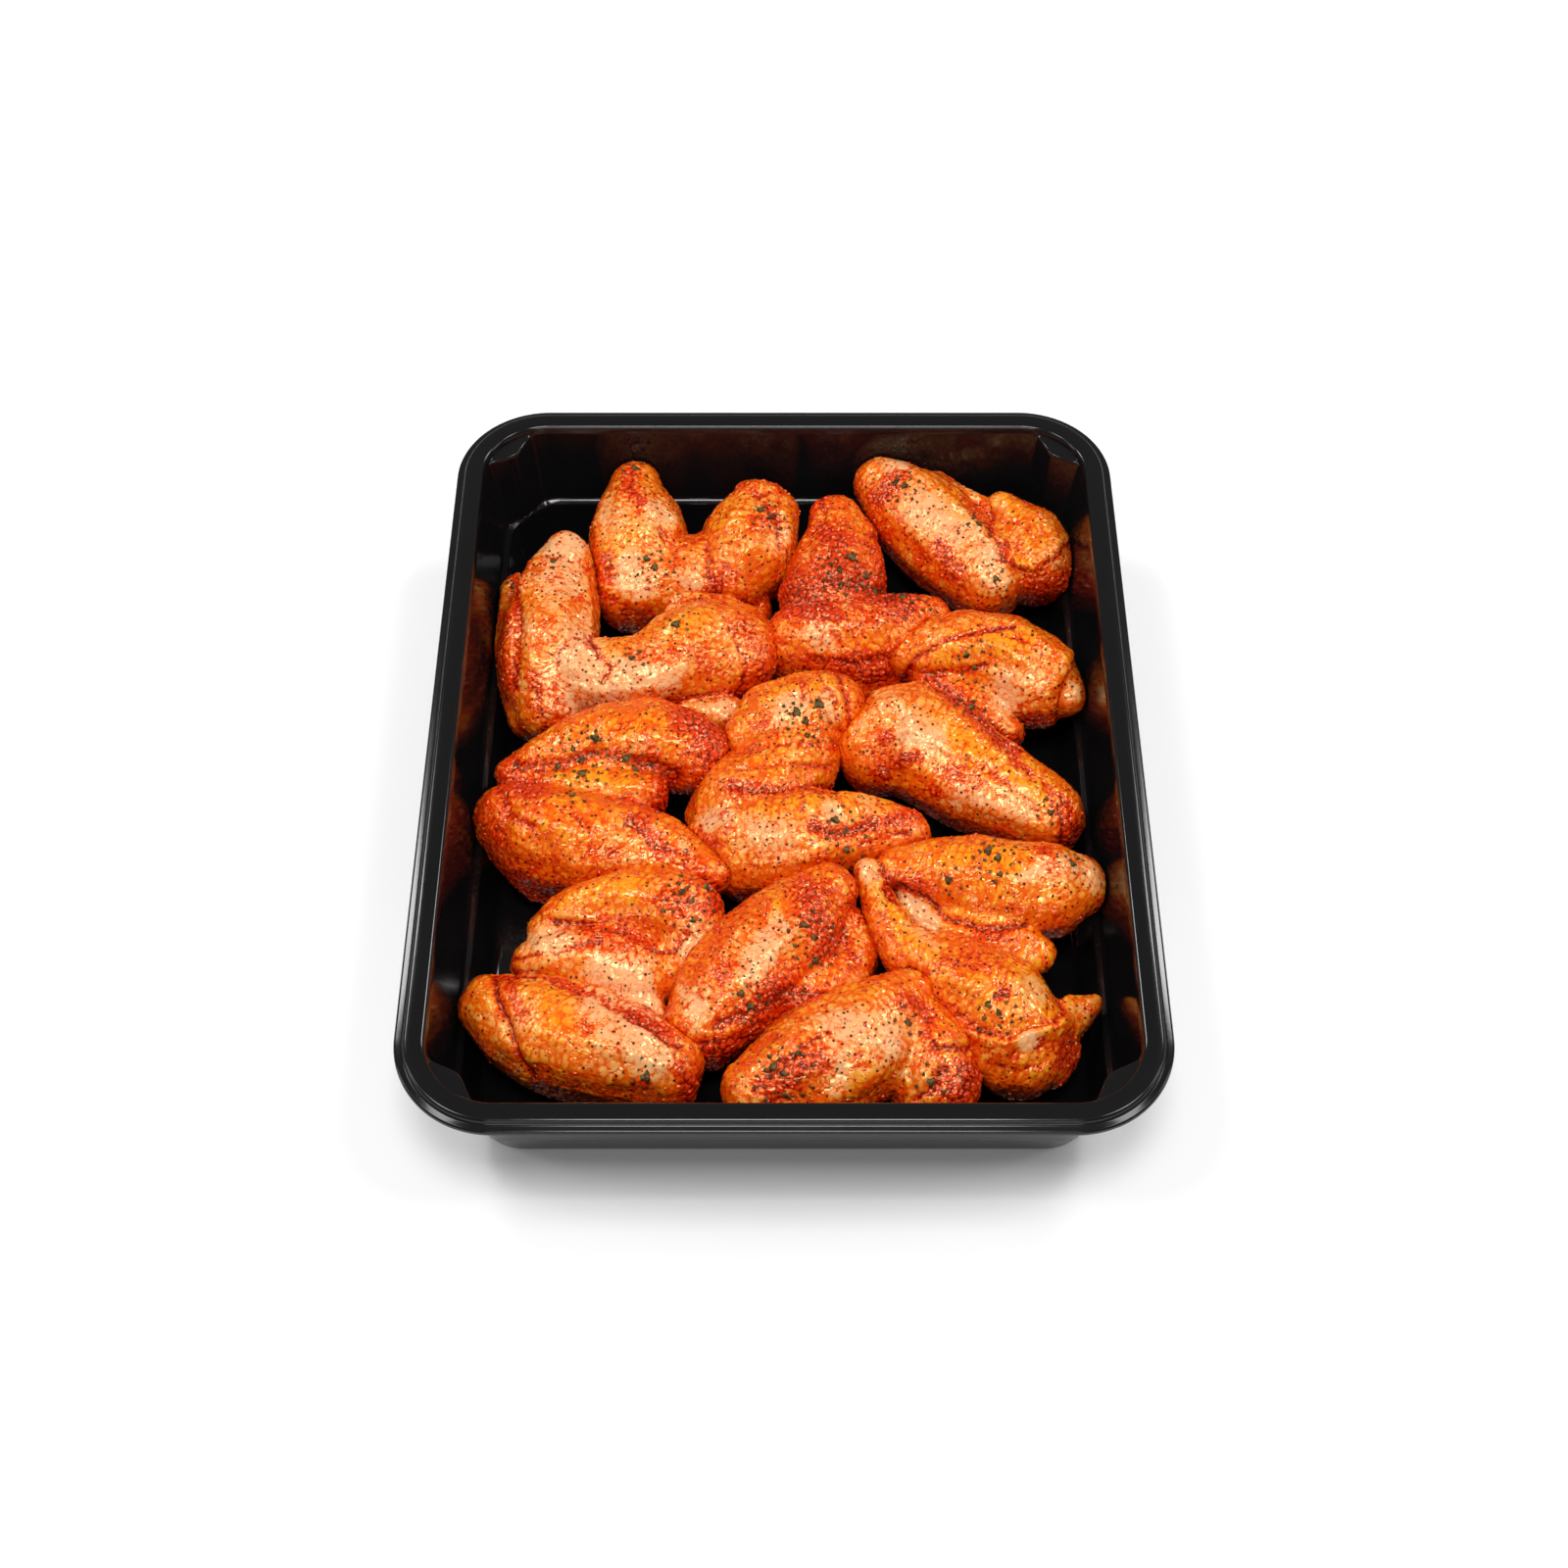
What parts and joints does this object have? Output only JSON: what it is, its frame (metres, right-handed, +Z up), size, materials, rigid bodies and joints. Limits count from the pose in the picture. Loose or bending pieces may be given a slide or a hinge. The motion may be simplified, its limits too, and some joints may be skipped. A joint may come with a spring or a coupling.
{
  "type": "meat tray pack",
  "caption": "Open black plastic tray with a rolled rim and corner lugs, filled with marinated raw chicken wings that lie close together in one layer.",
  "frame": {"origin": "middle of the tray's base, on the face that it stands on", "axes": "+Y along the tray's length towards its far end in the picture, +X across it to the right, +Z up"},
  "size_m": [0.262, 0.3276, 0.0586],
  "materials": {
    "tray_plastic": "glossy black thermoformed plastic",
    "marinated_skin": "wet, oily and glossy",
    "pale_skin": "wet, oily and glossy",
    "red_skin": "wet, oily and glossy",
    "herb_flakes": "dark dried leaf, moist from the oil",
    "pepper_specks": "dark, matt",
    "chili_bits": "wet and glossy"
  },
  "bodies": {
    "root": {"tray": "tray_plastic", "wing_front_left": "marinated_skin", "wing_front_right": "marinated_skin", "wing_right_front": "marinated_skin", "wing_front_middle": "marinated_skin", "wing_left_middle": "marinated_skin", "wing_middle": "marinated_skin", "wing_right": "marinated_skin", "wing_left": "pale_skin", "wing_back_middle": "red_skin", "wing_back_left": "pale_skin", "wing_back_right": "pale_skin"}
  },
  "joints": []
}
